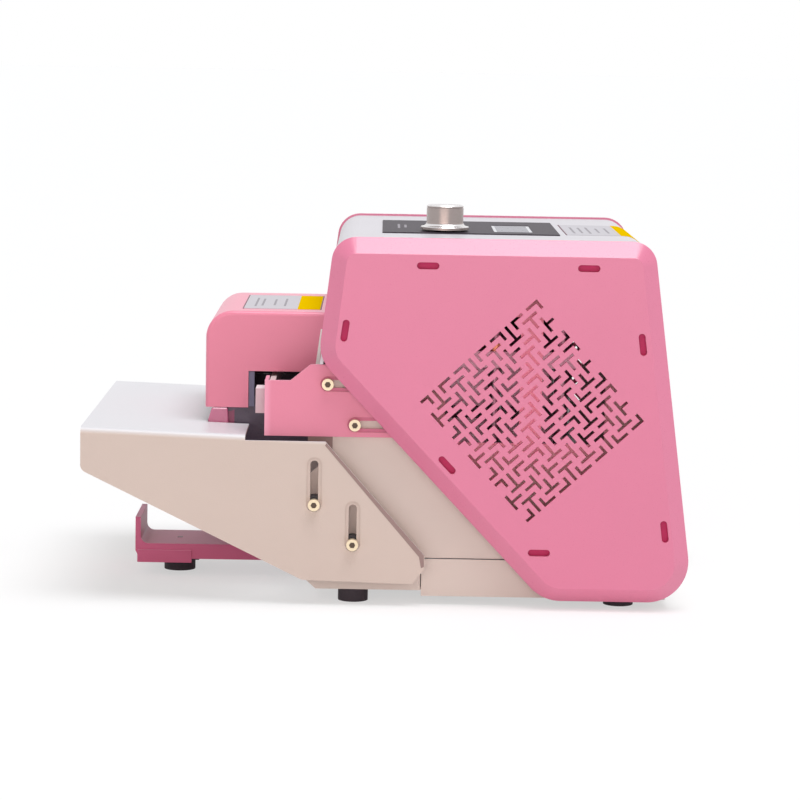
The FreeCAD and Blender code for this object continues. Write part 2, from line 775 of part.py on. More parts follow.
# Feed brackets: slotted sheets with an inward return, tied by a gate bar.
bracket = profile("bracket_sheet_body", "XZ", [
    ("bracket_front", "bracket_bottom"),
    ("bracket_front", "bracket_low_top"),
    ("bracket_front + 18.5", "bracket_low_top"),
    ("bracket_front + 33", "bracket_top"),
    ("bracket_rear", "bracket_top"),
    ("bracket_rear", "bracket_bottom"),
], ("-bracket_y", "-bracket_in"))
fold = block("bracket_fold", ("bracket_front", "bracket_front + bracket_sheet"),
             ("-bracket_y", "-bracket_y + bracket_return"), ("bracket_bottom", "bracket_low_top"))
bracket_cuts = []
for name in ("bracket_a", "bracket_b"):
    x, z = SCREWS[name]
    end = f"{x} + bracket_travel + 12"
    bracket_cuts.append(slot(f"slot_{name}", "x", z, x, end, "slot_width",
                             ("-bracket_y - 1", "-bracket_in + 1")))
    bracket_cuts.append(slot(f"recess_{name}", "x", z, x, end, "recess_width",
                             ("-bracket_y - 1", "-bracket_y + recess_depth")))
right_bracket = cut("right_feed_bracket", join("bracket_joined", bracket, fold), *bracket_cuts)
left_bracket = mirrored("left_feed_bracket", right_bracket)
gate = block("gate_bar", ("bracket_front + bracket_sheet", "bracket_front + bracket_sheet + gate_thick"),
             both("bracket_in"), ("gate_low", "gate_high"))
nodes += [right_bracket, left_bracket, gate]

# Feed table: one bent sheet with two deep skirts, slotted for height setting.
table_slope = [
    ("table_front", "table_front_low"),
    ("table_front", "table_top"),
    ("table_strip_end", "table_rear_top"),
    ("table_strip_end", "skirt_top"),
    ("skirt_peak_x", "skirt_top"),
    ("skirt_tip_x", "skirt_tip_z"),
    ("skirt_tip_x", "skirt_tip_z - 10"),
    ("skirt_heel_x", "skirt_bottom"),
    ("skirt_toe_x", "skirt_bottom + 2"),
]
table_solid = profile("table_solid", "XZ", table_slope, both("table_y"), (
    ([0], "6"),
    ([8], "9"),
))
table_inside = profile("table_inside", "XZ", [
    ("table_front - 5", "0"),
    ("table_front - 5", "table_top - table_sheet"),
    ("table_strip_end", "table_rear_top - table_sheet"),
    ("table_strip_end", "table_top + 10"),
    ("skirt_tip_x + 10", "table_top + 10"),
    ("skirt_tip_x + 10", "0"),
], both("skirt_in"))
unfolded = table_solid.Tip
folds = table_solid.newObject("PartDesign::Fillet", "table_folds")
table_y = value("table_y")
folds.Base = (unfolded, edge_names(unfolded.Shape, lambda edge, spot: (
    abs(abs(spot.y) - table_y) < 1e-3 and spot.z > value("table_rear_top") + 0.2 and edge.Length > 60)))
folds.setExpression("Radius", sized("fold_round"))
doc.recompute()
table_cuts = [
    table_inside,
    block("table_notch", ("table_cut_x", "table_strip_end + 1"), both("table_cut_y"),
          ("100", "table_top + 5")),
]
for sign in (RIGHT, LEFT):
    span = side(sign, "skirt_in - 1", "table_y + 1")
    shallow = side(sign, "table_y - recess_depth", "table_y + 1")
    for name, reach in (("table_a", 29), ("table_b", 26)):
        x, z = SCREWS[name]
        table_cuts.append(slot(f"slot_{name}_{NAMES[sign]}", "z", x, z, f"{z} + {reach}", "slot_width", span))
        table_cuts.append(slot(f"recess_{name}_{NAMES[sign]}", "z", x, z, f"{z} + {reach}", "recess_width",
                               shallow))
nodes.append(cut("feed_table", table_solid, *table_cuts))

# Socket screws that clamp brackets and table, with spacers behind the skirts.
screws = []
spacers = []
for sign in (RIGHT, LEFT):
    for name, (x, z) in SCREWS.items():
        seat = "table_y + slide_gap" if name.startswith("table") else "bracket_y + slide_gap"
        tag = f"{name}_{NAMES[sign]}"
        shank = rod(f"shank_{tag}", "y", (x, z), "screw_size", side(sign, "plate_in", f"{seat} + 1"))
        head = rod(f"screw_head_{tag}", "y", (x, z), "screw_head",
                   side(sign, seat, f"{seat} + screw_head_tall"))
        socket = doc.addObject("Part::Prism", f"socket_{tag}")
        socket.Polygon = 6
        socket.Placement = FreeCAD.Placement(FreeCAD.Vector(), TURNS["y"])
        low, high = side(sign, f"{seat} + screw_head_tall - 2.5", f"{seat} + screw_head_tall + 1")
        socket.setExpression("Circumradius", sized("screw_socket / 2"))
        socket.setExpression("Height", sized(f"({high}) - ({low})"))
        for axis, spot in zip("xyz", (x, low, z)):
            socket.setExpression(f"Placement.Base.{axis}", sized(spot))
        screws.append(cut(f"screw_{tag}", join(f"screw_solid_{tag}", shank, head), socket))
        if name.startswith("table"):
            ring = rod(f"ring_{tag}", "y", (x, z), "spacer_size",
                       side(sign, "plate_y", "skirt_in - slide_gap"))
            hole = rod(f"ring_hole_{tag}", "y", (x, z), "screw_size", side(sign, "plate_y - 1", "skirt_in"))
            spacers.append(cut(f"spacer_{tag}", ring, hole))
nodes.append(several("socket_screws", *screws))
nodes.append(several("table_spacers", *spacers))

# Feed head: cover, two arms, four rollers, bushes, belt and motor.
head_solid = profile("head_solid", "XZ", [
    ("head_front", "head_bottom"),
    ("head_front", "head_top"),
    ("head_rear_top", "head_top"),
    ("head_rear_low", "head_cut_z"),
    ("head_cut_x", "head_cut_z"),
    ("head_cut_x", "head_bottom"),
], both("head_y"), (([1], "head_round"),))
sharp = head_solid.Tip
softened = head_solid.newObject("PartDesign::Fillet", "head_softened")
head_y = value("head_y")
softened.Base = (sharp, edge_names(sharp.Shape, lambda edge, spot: (
    abs(abs(spot.y) - head_y) < 1e-3 and (spot.x < value("head_front") + 8 or spot.z > value("head_top") - 8)
    and spot.z > value("head_bottom") + 1)))
softened.setExpression("Radius", sized("head_edge"))
doc.recompute()
head_inside = profile("head_inside", "XZ", [
    ("head_front + head_wall", "head_bottom - 5"),
    ("head_front + head_wall", "head_top - head_wall"),
    ("head_rear_top + 12", "head_top - head_wall"),
    ("head_rear_top + 12", "head_bottom - 5"),
], both("head_y - head_wall"), (([1], "head_round - head_wall"),))
nodes.append(cut("feed_head_cover", head_solid, head_inside))
AXES = {
    "front_high": ("roller_front_x", "roller_axis_high"),
    "rear_high": ("roller_rear_x", "roller_axis_high"),
    "front_low": ("roller_front_x", "roller_axis_low"),
    "rear_low": ("roller_rear_x", "roller_axis_low"),
}
bushes = []
for sign in (RIGHT, LEFT):
    tag = NAMES[sign]
    arm = block(f"arm_sheet_{tag}", ("arm_front", "arm_rear"), side(sign, "arm_in", "arm_y"),
                ("arm_low", "arm_top"))
    arm_cuts = [block(f"gate_path_{tag}", ("bracket_front - bracket_travel - 3",
                                           "bracket_front + bracket_sheet + gate_thick + 2"),
                      side(sign, "arm_in - 1", "arm_y + 1"), ("gate_low - 3", "arm_top + 1"))]
    for name, place in AXES.items():
        arm_cuts.append(rod(f"seat_{name}_{tag}", "y", place, "bush_size",
                            side(sign, "arm_in - 1", "arm_y + 1")))
        ring = rod(f"bush_ring_{name}_{tag}", "y", place, "bush_size", side(sign, "arm_in", "arm_y"))
        bore = rod(f"bush_bore_{name}_{tag}", "y", place, "shaft_size + 2 * run_fit",
                   side(sign, "arm_in - 1", "arm_y + 1"))
        bushes.append(cut(f"bush_{name}_{tag}", ring, bore))
    nodes.append(cut(f"{tag}_feed_arm", arm, *arm_cuts))
nodes.append(several("roller_bushes", *bushes))
ROLLERS = {
    "pickup_roller": ("front_high", "roller_high"),
    "drive_roller": ("rear_high", "roller_high"),
    "retard_roller": ("front_low", "roller_low"),
    "idle_roller": ("rear_low", "roller_low"),
}
for name, (axis, size) in ROLLERS.items():
    place = AXES[axis]
    pieces = [
        rod(f"{name}_shaft", "y", place, "shaft_size", both("arm_y - 0.5")),
        rod(f"{name}_rubber", "y", place, size, ("-pulley_far", "pulley_near - belt_clear")),
    ]
    if axis.endswith("high"):
        pieces.append(rod(f"{name}_pulley", "y", place, "pulley_size",
                          ("pulley_near", "pulley_far")))
    nodes.append(join(name, *pieces))
belt_span = around("(pulley_near + pulley_far) / 2", "belt_width")
belt_outer = slot("belt_outer", "x", "roller_axis_high", "roller_front_x", "roller_rear_x",
                  "pulley_size + 2 * belt_thick", belt_span)
belt_inner = slot("belt_inner", "x", "roller_axis_high", "roller_front_x", "roller_rear_x",
                  "pulley_size", around("(pulley_near + pulley_far) / 2", "belt_width + 2"))
nodes.append(cut("feed_belt", belt_outer, belt_inner))
motor_face = block("motor_face", around("roller_rear_x", "feed_motor_side"), ("arm_y", "arm_y + motor_plate"),
                   around("roller_axis_high", "feed_motor_side"))
motor_eye = rod("motor_eye", "y", AXES["rear_high"], "shaft_size + 6",
                ("arm_y - 1", "arm_y + motor_plate + 1"))
nodes.append(cut("feed_motor_mount", motor_face, motor_eye))
nodes.append(block("feed_motor", around("roller_rear_x", "feed_motor_side"),
                   ("arm_y + motor_plate", "motor_far"),
                   around("roller_axis_high", "feed_motor_side")))

# Press: shoe, die, posts, platen with punch, twin screws, bridge, belt and motor.
card_x = around("die_x", "card_length")
card_y = around("0", "card_width")
card_hole = block("card_hole", card_x, card_y, ("shoe_low - 1", "die_top + 1"))
shoe = block("shoe_block", around("die_x", "shoe_length"), both("plate_in"), ("shoe_low", "shoe_top"))
shoe_hole = block("shoe_hole", around("die_x", "card_length + 4"), around("0", "card_width + 4"),
                  ("shoe_low - 1", "shoe_top + 1"))
nodes.append(cut("die_shoe", shoe, shoe_hole))
die = block("die_block", around("die_x", "die_length"), around("0", "die_width"), ("shoe_top", "die_top"))
nodes.append(cut("die_plate", die, card_hole))
nodes.append(block("punch", around("die_x", "card_length - 2 * punch_clear"),
                   around("0", "card_width - 2 * punch_clear"), ("punch_low", "platen_low")))
POSTS = [(f"die_x + {a} * post_span_x / 2", f"{b} * post_span_y / 2") for a in (-1, 1) for b in (-1, 1)]
SPINDLES = {sign: ("die_x", f"{sign} * post_span_y / 2") for sign in (RIGHT, LEFT)}
posts = [rod(f"post_{n}", "z", place, "post_size", ("shoe_top", "bridge_low"))
         for n, place in enumerate(POSTS)]
nodes.append(several("guide_posts", *posts))
platen = block("platen_block", around("die_x", "platen_length"), around("0", "platen_width"),
               ("platen_low", "platen_top"))
platen_cuts = [rod(f"platen_seat_{n}", "z", place, "post_size + 2 * bush_wall",
                   ("platen_low - 1", "platen_top + 1"))
               for n, place in enumerate(POSTS)]
platen_cuts += [rod(f"nut_seat_{NAMES[sign]}", "z", place, "nut_size", ("platen_low - 1", "platen_top + 1"))
                for sign, place in SPINDLES.items()]
nodes.append(cut("press_platen", platen, *platen_cuts))
sleeves = []
for n, place in enumerate(POSTS):
    ring = rod(f"sleeve_ring_{n}", "z", place, "post_size + 2 * bush_wall", ("platen_low", "platen_top"))
    bore = rod(f"sleeve_bore_{n}", "z", place, "post_size + 2 * run_fit",
               ("platen_low - 1", "platen_top + 1"))
    sleeves.append(cut(f"sleeve_{n}", ring, bore))
nodes.append(several("platen_sleeves", *sleeves))
nuts = []
bridge = block("bridge_block", ("bridge_front", "bridge_rear"), around("0", "bridge_width"),
               ("bridge_low", "bridge_top"))
bridge_cuts = [rod("bridge_eye_motor", "z", ("press_motor_x", "0"), "lead_screw + 2 * run_fit",
                   ("bridge_low - 1", "bridge_top + 1"))]
for sign, place in SPINDLES.items():
    tag = NAMES[sign]
    ring = rod(f"nut_ring_{tag}", "z", place, "nut_size", ("platen_low", "platen_low + nut_tall"))
    bore = rod(f"nut_bore_{tag}", "z", place, "lead_screw + 2 * slide_gap",
               ("platen_low - 1", "platen_top + nut_tall"))
    nuts.append(cut(f"nut_{tag}", ring, bore))
    bridge_cuts.append(rod(f"bridge_eye_{tag}", "z", place, "lead_screw + 2 * run_fit",
                           ("bridge_low - 1", "bridge_top + 1")))
    nodes.append(join(f"{tag}_lead_screw",
                      rod(f"spindle_{tag}", "z", place, "lead_screw",
                          ("shoe_top + slide_gap", "drive_low + 1")),
                      rod(f"wheel_{tag}", "z", place, "drive_pulley",
                          ("drive_low", "drive_low + drive_pulley_tall"))))
nodes.append(several("screw_nuts", *nuts))
nodes.append(cut("bridge_plate", bridge, *bridge_cuts))
nodes.append(join("motor_pulley",
                  rod("motor_stub", "z", ("press_motor_x", "0"), "lead_screw",
                      ("bridge_low + slide_gap", "drive_low + 1")),
                  rod("motor_wheel", "z", ("press_motor_x", "0"), "drive_pulley",
                      ("drive_low", "drive_low + drive_pulley_tall"))))
nodes.append(block("press_motor", around("press_motor_x", "press_motor_side"),
                   around("0", "press_motor_side"),
                   ("bridge_low - press_motor_tall", "bridge_low")))


def belt_loop():
    """A flat belt laid round three pulleys of one size."""
    spots = [(value("die_x"), -value("post_span_y") / 2), (value("press_motor_x"), 0),
             (value("die_x"), value("post_span_y") / 2)]
    level = value("drive_mid - belt_width / 2")
    line = Part.makePolygon([FreeCAD.Vector(x, y, level) for x, y in spots + spots[:1]])
    radius = value("drive_pulley / 2")
    outer = Part.Face(line.makeOffset2D(radius + value("belt_thick")))
    inner = Part.Face(line.makeOffset2D(radius))
    return outer.cut(inner).extrude(FreeCAD.Vector(0, 0, value("belt_width")))


loop = doc.addObject("Part::Feature", "press_belt")
loop.Shape = belt_loop()
nodes.append(loop)

# Card chute and the sliding tray with its foot.
chute_top = "shoe_low"
chute_solid = profile("chute_solid", "XZ", [
    ("chute_low_x", "chute_low_z"),
    ("chute_low_x", "chute_low_z + 14"),
    ("die_x - card_length / 2 - 4", chute_top),
    ("chute_high_x", chute_top),
    ("chute_high_x", "shoe_low - 6"),
], both("chute_width / 2"))
chute_inside = profile("chute_inside", "XZ", [
    ("chute_low_x - 5", "chute_low_z + chute_sheet - 2"),
    ("chute_low_x - 5", "chute_low_z + 30"),
    ("die_x - card_length / 2 - 4", "shoe_low + 5"),
    ("chute_high_x - chute_sheet", "shoe_low + 5"),
    ("chute_high_x - chute_sheet", "shoe_low - 6 + chute_sheet"),
], both("chute_width / 2 - chute_sheet"))
nodes.append(cut("card_chute", chute_solid, chute_inside))
tray_solid = profile("tray_solid", "XZ", [
    ("tray_front + 3", "tray_low"),
    ("tray_front", "tray_low + 6"),
    ("tray_front", "tray_lip"),
    ("tray_front + tray_lip_thick", "tray_lip"),
    ("tray_front + tray_lip_thick", "tray_top"),
    ("tray_rear", "tray_top"),
    ("tray_rear", "tray_low"),
], both("tray_width / 2"), (([4], "6"),))
tray_under = block("tray_under", ("tray_front + tray_lip_thick + 4", "tray_rear + 1"),
                   both("tray_width / 2 - tray_sheet"), ("tray_low - 1", "tray_top - tray_sheet"))
nodes.append(cut("output_tray", tray_solid, tray_under))
nodes.append(join("tray_foot",
                  block("foot_block", around("tray_foot_x", "tray_block"),
                        both("tray_width / 2 - tray_sheet"),
                        ("tray_foot_tall", "tray_top - tray_sheet")),
                  rod("foot_pad", "z", ("tray_foot_x", "0"), "tray_foot_size", ("0", "tray_foot_tall"))))
guides = [block(f"guide_{NAMES[sign]}", ("pan_front + 4", "chute_low_x + 40"),
                side(sign, "tray_width / 2 + slide_gap", "tray_width / 2 + slide_gap + guide_thick"),
                ("pan_top", "pan_top + guide_tall")) for sign in (RIGHT, LEFT)]
nodes.append(several("tray_guides", *guides))

# Electrics: board, supply, inlet and rocker switch.
board_y = ("plate_in - board_gap - board_thick", "plate_in - board_gap")
board = [block("board_sheet", ("board_front", "board_front + board_length"), board_y,
               ("board_low", "board_low + board_tall")),
         block("board_chip", ("board_front + board_length / 4", "board_front + board_length * 0.44"),
               ("plate_in - board_gap - board_thick - board_chip_tall", "plate_in - board_gap - board_thick"),
               ("board_low + board_tall * 0.38", "board_low + board_tall * 0.65")),
         block("board_sockets", ("board_front + board_length * 0.07", "board_front + board_length * 0.58"),
               ("plate_in - board_gap - board_thick - board_socket_tall",
                "plate_in - board_gap - board_thick"),
               ("board_low + board_tall - board_socket_edge - board_socket_band",
                "board_low + board_tall - board_socket_edge"))]
for n, (x, z) in enumerate((("grille_x", "board_low + board_post_edge"),
                            ("grille_x", "board_low + board_tall - board_post_edge"))):
    board.append(rod(f"board_post_{n}", "y", (x, z), "board_post_size",
                     ("plate_in - board_gap - board_thick / 2", "plate_in")))
nodes.append(join("control_board", *board))
nodes.append(block("power_supply", ("supply_front", "supply_front + supply_length"),
                   ("plate_in - supply_width - 4", "plate_in - 4"), ("pan_top", "pan_top + supply_tall")))
inlet_body = block("inlet_body", ("pan_rear - inlet_deep", "pan_rear"), around("inlet_y", "inlet_width"),
                   around("inlet_z", "inlet_tall"))
inlet_rim = block("inlet_rim", ("pan_rear", "pan_rear + 2"), around("inlet_y", "inlet_width + 6"),
                  around("inlet_z", "inlet_tall + 6"))
inlet_well = block("inlet_well", ("pan_rear - inlet_deep + 3", "pan_rear + 3"), around("inlet_y", "24"),
                   around("inlet_z", "17"))
nodes.append(cut("power_inlet", join("inlet_case", inlet_body, inlet_rim), inlet_well))
switch_case = block("switch_case", ("pan_rear - switch_deep", "pan_rear"),
                    around("switch_y", "switch_width + 4"),
                    around("inlet_z", "switch_tall + 4"))
switch_rim = block("switch_rim", ("pan_rear", "pan_rear + 1.5"), around("switch_y", "switch_width + 8"),
                   around("inlet_z", "switch_tall + 8"))
switch_well = block("switch_well", ("pan_rear - switch_deep + 2", "pan_rear + 3"),
                    around("switch_y", "switch_width + 2 * slide_gap"), around("inlet_z", "switch_tall + 2"))
switch_pivot = rod("switch_pivot", "y", ("pan_rear - 4", "inlet_z"), "rocker_pin + 2 * run_fit",
                   around("switch_y", "switch_width + 2 * rocker_pin_end + 2 * slide_gap"))
nodes.append(cut("switch_body", join("switch_shell", switch_case, switch_rim),
                 join("switch_hollow", switch_well, switch_pivot)))
rocker_cap = profile("rocker_cap", "XZ", [
    ("pan_rear - 4", "inlet_z - switch_tall / 2 + 2"),
    ("pan_rear + 0.5", "inlet_z - switch_tall / 2"),
    ("pan_rear + 2.2", "inlet_z"),
    ("pan_rear + 0.5", "inlet_z + switch_tall / 2"),
    ("pan_rear - 4", "inlet_z + switch_tall / 2 - 2"),
], around("switch_y", "switch_width"))
rocker_pin = rod("rocker_pin_rod", "y", ("pan_rear - 4", "inlet_z"), "rocker_pin",
                 around("switch_y", "switch_width + 2 * rocker_pin_end"))
nodes.append(join("power_rocker", rocker_cap, rocker_pin))

doc.recompute()
for item in doc.Objects:
    if "Invalid" in item.State or "Error" in item.State:
        raise RuntimeError(f"{item.Label} did not build: {item.State}")
os.makedirs("parts", exist_ok=True)
for node in nodes:
    if node.Shape.isNull() or not node.Shape.isValid():
        raise RuntimeError(f"{node.Label} has no sound shape")
    node.Shape.exportStep(f"parts/{node.Label}.step")
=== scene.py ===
import json
import math
import bmesh
import bpy
from mathutils import Matrix, Vector


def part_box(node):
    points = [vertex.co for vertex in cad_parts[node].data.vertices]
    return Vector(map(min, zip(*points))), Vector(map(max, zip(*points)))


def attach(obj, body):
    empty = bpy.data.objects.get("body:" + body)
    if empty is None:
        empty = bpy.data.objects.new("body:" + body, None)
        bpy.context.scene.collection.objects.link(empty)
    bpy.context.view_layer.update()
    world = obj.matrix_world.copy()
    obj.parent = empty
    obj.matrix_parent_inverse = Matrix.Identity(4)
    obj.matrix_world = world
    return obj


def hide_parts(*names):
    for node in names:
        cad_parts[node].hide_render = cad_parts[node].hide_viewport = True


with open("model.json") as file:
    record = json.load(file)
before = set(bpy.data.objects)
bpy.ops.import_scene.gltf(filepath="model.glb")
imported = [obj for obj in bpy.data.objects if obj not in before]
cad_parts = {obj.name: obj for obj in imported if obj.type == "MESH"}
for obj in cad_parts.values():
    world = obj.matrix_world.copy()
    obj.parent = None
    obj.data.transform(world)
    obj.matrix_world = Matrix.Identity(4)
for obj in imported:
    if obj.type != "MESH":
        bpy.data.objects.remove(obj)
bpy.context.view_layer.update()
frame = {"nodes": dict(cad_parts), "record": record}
nodes = frame["nodes"]
scene = bpy.context.scene

# Looks of the die cutting machine: materials, studio, rounded edges and the small pieces on the CAD nodes.
# Sizes and places of pieces are in millimetres, those of the studio in metres.
MM = 0.001
# The two sides of the machine: the sign of Y, and the word in the names.
SIDES = ((-1, "right"), (1, "left"))


# Colours and materials

SLOW_SCALE = 9
SLOW_DETAIL = 4
FINE_DETAIL = 3
ROUGH_SPREAD = 0.08
ROUGH_LEAST = 0.02
GRAIN_HEIGHT = 0.0002


def rgb(*values):
    """A screen colour, 0 to 255, made linear for the shaders."""
    linear = []
    for value in values:
        share = value / 255
        linear.append(share / 12.92 if share <= 0.04045 else ((share + 0.055) / 1.055) ** 2.4)
    return (*linear, 1.0)


def painted_top_light(colour, start=0.75, span=0.2):
    """Painted light: another tone for faces that look up, for painted sheen and highlights; start and span
    are parts of straight up.
    """
    return "Normal", "Z", start, start + span, colour


def front_end(colour, place, soft=0.5):
    """Another tone for the end of a piece ahead of one place along the machine."""
    return "Object", "X", place * MM, (place - soft) * MM, colour


def mixed(tree, share, base, other):
    """A tone between two: base is a colour or the output of a node, other is a colour."""
    mix = tree.nodes.new("ShaderNodeMix")
    mix.data_type = "RGBA"
    mix.inputs["B"].default_value = other
    tree.links.new(share, mix.inputs["Factor"])
    if isinstance(base, tuple):
        mix.inputs["A"].default_value = base
    else:
        tree.links.new(base, mix.inputs["A"])
    return mix.outputs["Result"]


def second_tone(tree, base, coordinate, axis, start, end, colour):
    """The base tone, with a colour that takes over from start to end along one axis."""
    where = tree.nodes.new("ShaderNodeTexCoord")
    parts = tree.nodes.new("ShaderNodeSeparateXYZ")
    tree.links.new(where.outputs[coordinate], parts.inputs["Vector"])
    share = tree.nodes.new("ShaderNodeMapRange")
    share.inputs["From Min"].default_value = start
    share.inputs["From Max"].default_value = end
    tree.links.new(parts.outputs[axis], share.inputs["Value"])
    return mixed(tree, share.outputs["Result"], base, colour)


def noise(tree, place, scale, detail):
    """Noise that sits still on the piece."""
    cloud = tree.nodes.new("ShaderNodeTexNoise")
    cloud.inputs["Scale"].default_value = scale
    cloud.inputs["Detail"].default_value = detail
    tree.links.new(place, cloud.inputs["Vector"])
    return cloud.outputs["Fac"]


def material(name, colour, rough=0.4, metal=0.0, grain=900, vary=0.04, bump=0.2, coat=0.0,
             stretch=(1, 1, 1), shine=0.5, tones=()):
    """A painted, moulded or machined surface with a fine grain and slow changes of tone."""
    finish = bpy.data.materials.new(name)
    finish.use_nodes = True
    tree = finish.node_tree
    link = tree.links.new
    shader = tree.nodes["Principled BSDF"]
    place = tree.nodes.new("ShaderNodeTexCoord").outputs["Object"]
    stretched = tree.nodes.new("ShaderNodeMapping")
    stretched.inputs["Scale"].default_value = stretch
    link(place, stretched.inputs["Vector"])
    fine = noise(tree, stretched.outputs["Vector"], grain, FINE_DETAIL)
    slow = noise(tree, place, SLOW_SCALE, SLOW_DETAIL)
    darker = tuple(part * (1 - vary) for part in colour[:3]) + (1,)
    lighter = tuple(min(1, part * (1 + vary)) for part in colour[:3]) + (1,)
    tone = mixed(tree, slow, darker, lighter)
    for change in tones:
        tone = second_tone(tree, tone, *change)
    link(tone, shader.inputs["Base Color"])
    spread = tree.nodes.new("ShaderNodeMapRange")
    spread.inputs["To Min"].default_value = max(ROUGH_LEAST, rough - ROUGH_SPREAD)
    spread.inputs["To Max"].default_value = min(1, rough + ROUGH_SPREAD)
    link(fine, spread.inputs["Value"])
    link(spread.outputs["Result"], shader.inputs["Roughness"])
    relief = tree.nodes.new("ShaderNodeBump")
    relief.inputs["Strength"].default_value = bump
    relief.inputs["Distance"].default_value = GRAIN_HEIGHT
    link(fine, relief.inputs["Height"])
    link(relief.outputs["Normal"], shader.inputs["Normal"])
    shader.inputs["Metallic"].default_value = metal
    shader.inputs["Coat Weight"].default_value = coat
    shader.inputs["Specular IOR Level"].default_value = shine
    return finish


# One material for each slot of the record.
MATERIALS = {
    "pink_cover": material("pink_cover", rgb(220, 118, 152), rough=0.3, grain=1500, shine=0.9),
    "pink_sheet": material("pink_sheet", rgb(230, 128, 156), rough=0.28, bump=0.04, shine=0.8),
    "silver_sheet": material("silver_sheet", rgb(208, 205, 211), rough=0.42, metal=0.1, grain=1300),
    # Faces of the white sheet that look up get a cooler painted sheen.
    "white_sheet": material("white_sheet", rgb(216, 200, 191), rough=0.38, grain=1100, bump=0.3,
                            tones=[painted_top_light(rgb(208, 208, 212))]),
    "dark_film": material("dark_film", rgb(50, 42, 52), rough=0.5, grain=1200, bump=0.1, shine=0.2),
    "display": material("display", rgb(214, 214, 219), rough=0.3, grain=700, bump=0.05, shine=0.2),
    "black_plastic": material("black_plastic", rgb(46, 42, 48), rough=0.5, bump=0.3),
    # The top of the knob gets a painted highlight.
    "turned_aluminium": material("turned_aluminium", rgb(164, 153, 150), rough=0.24, metal=1.0, grain=600,
                                 stretch=(1, 1, 14), tones=[painted_top_light(rgb(226, 223, 224), 0.3)]),
    "steel": material("steel", rgb(170, 168, 168), rough=0.32, metal=1.0, grain=500, stretch=(1, 10, 1)),
    "zinc_sheet": material("zinc_sheet", rgb(176, 176, 180), rough=0.42, metal=0.9, grain=120, vary=0.1),
    "brass": material("brass", rgb(226, 196, 140), rough=0.3, metal=1.0, grain=500),
    "black_rubber": material("black_rubber", rgb(60, 50, 58), rough=0.75, grain=700, bump=0.5),
    "pink_rubber": material("pink_rubber", rgb(196, 60, 110), rough=0.15, grain=500, bump=0.1, coat=0.4),
    "board_green": material("board_green", rgb(22, 92, 58), grain=500),
}

# Materials of single nodes, which look unlike the rest of their slot.
SCREW_NICKEL = material("screw_nickel", rgb(236, 219, 188), rough=0.35, metal=0.6, grain=500)
ARM_BLACK = material("arm_black", rgb(84, 74, 90), rough=0.3, metal=0.1, grain=700,
                     tones=[front_end(rgb(140, 70, 98), -113)])
ROLLER_GREY = material("roller_grey", rgb(92, 88, 106), rough=0.45, bump=0.3)
BUSH_GREY = material("bush_grey", rgb(96, 84, 98), metal=0.4, grain=700)
# The top of the table gets a paler, cooler painted sheen than its skirts, blended over its fold as a
# painted highlight.
TABLE_SHEET = material("table_sheet", rgb(208, 190, 180), rough=0.36, grain=1100, bump=0.3,
                       tones=[painted_top_light(rgb(214, 214, 218), 0.05, 0.75)])
# The bracket gets a painted highlight on faces that look up and on its front fold.
BRACKET_PINK = material("bracket_pink", rgb(228, 134, 160), rough=0.34, bump=0.3,
                        tones=[painted_top_light(rgb(246, 186, 206), 0.2), front_end(rgb(240, 158, 184), -83.5, 4)])
HEAD_PINK = material("head_pink", rgb(232, 132, 158), rough=0.3, grain=2600, bump=0.03, shine=0.6)
GATE_WHITE = material("gate_white", rgb(226, 214, 212), grain=800)
# The floor of the tray gets painted light on faces that look up, against the shade under the table.
TRAY_PINK = material("tray_pink", rgb(222, 112, 150), bump=0.3, shine=0.2,
                     tones=[painted_top_light(rgb(242, 166, 200), 0.3)])
CROSS_PLATE_DARK = material("cross_plate_dark", rgb(84, 74, 90), metal=0.2, grain=700)
OWN_MATERIALS = {
    "socket_screws": SCREW_NICKEL,
    "right_feed_arm": ARM_BLACK,
    "left_feed_arm": ARM_BLACK,
    "pickup_roller": ROLLER_GREY,
    "roller_bushes": BUSH_GREY,
    "feed_table": TABLE_SHEET,
    "right_feed_bracket": BRACKET_PINK,
    "left_feed_bracket": BRACKET_PINK,
    "feed_head_cover": HEAD_PINK,
    "gate_bar": GATE_WHITE,
    "output_tray": TRAY_PINK,
    "front_cross_plate": CROSS_PLATE_DARK,
}
for entry in frame["record"]["subparts"]:
    surfaces = nodes[entry["node"]].data.materials
    surfaces.clear()
    surfaces.append(OWN_MATERIALS.get(entry["node"], MATERIALS[entry["material_slot"]]))

# Materials of the pieces that this script adds.
# Deep magenta: the pink inside of the cover, painted as it looks in shade.
SHADED_SLOT_BACK = material("shaded_slot_back", rgb(196, 22, 96), rough=0.5, grain=700)
WHITE_FILM = material("white_film", rgb(197, 194, 200), rough=0.5, bump=0.1, shine=0.15)
YELLOW_FILM = material("yellow_film", rgb(232, 190, 0), rough=0.7, bump=0.1, shine=0.0)
PRINT_GREY = material("print_grey", rgb(158, 154, 160), rough=0.6, bump=0.1, shine=0.1)
DARK_EDGE = material("dark_edge", rgb(96, 40, 62), rough=0.5, bump=0.1)
GREY_SCREEN = material("grey_screen", rgb(138, 136, 146), rough=0.3, grain=300, bump=0.05, shine=0.2)
# Dark painted shade for the floors of screw sockets.
SOCKET_SHADE = material("socket_painted_shade", rgb(92, 76, 66), rough=0.5, metal=0.4)
# The pads get a painted highlight on faces that look up.
GATE_PAD = material("gate_pad", rgb(206, 176, 184), rough=0.45, tones=[painted_top_light(rgb(232, 228, 230))])
# The floors of the recesses are a little darker than the faces round them: painted shade.
RECESS_SHADE_PINK = material("recess_painted_shade_pink", rgb(206, 108, 138), rough=0.34)
RECESS_SHADE_WHITE = material("recess_painted_shade_white", rgb(202, 183, 173))
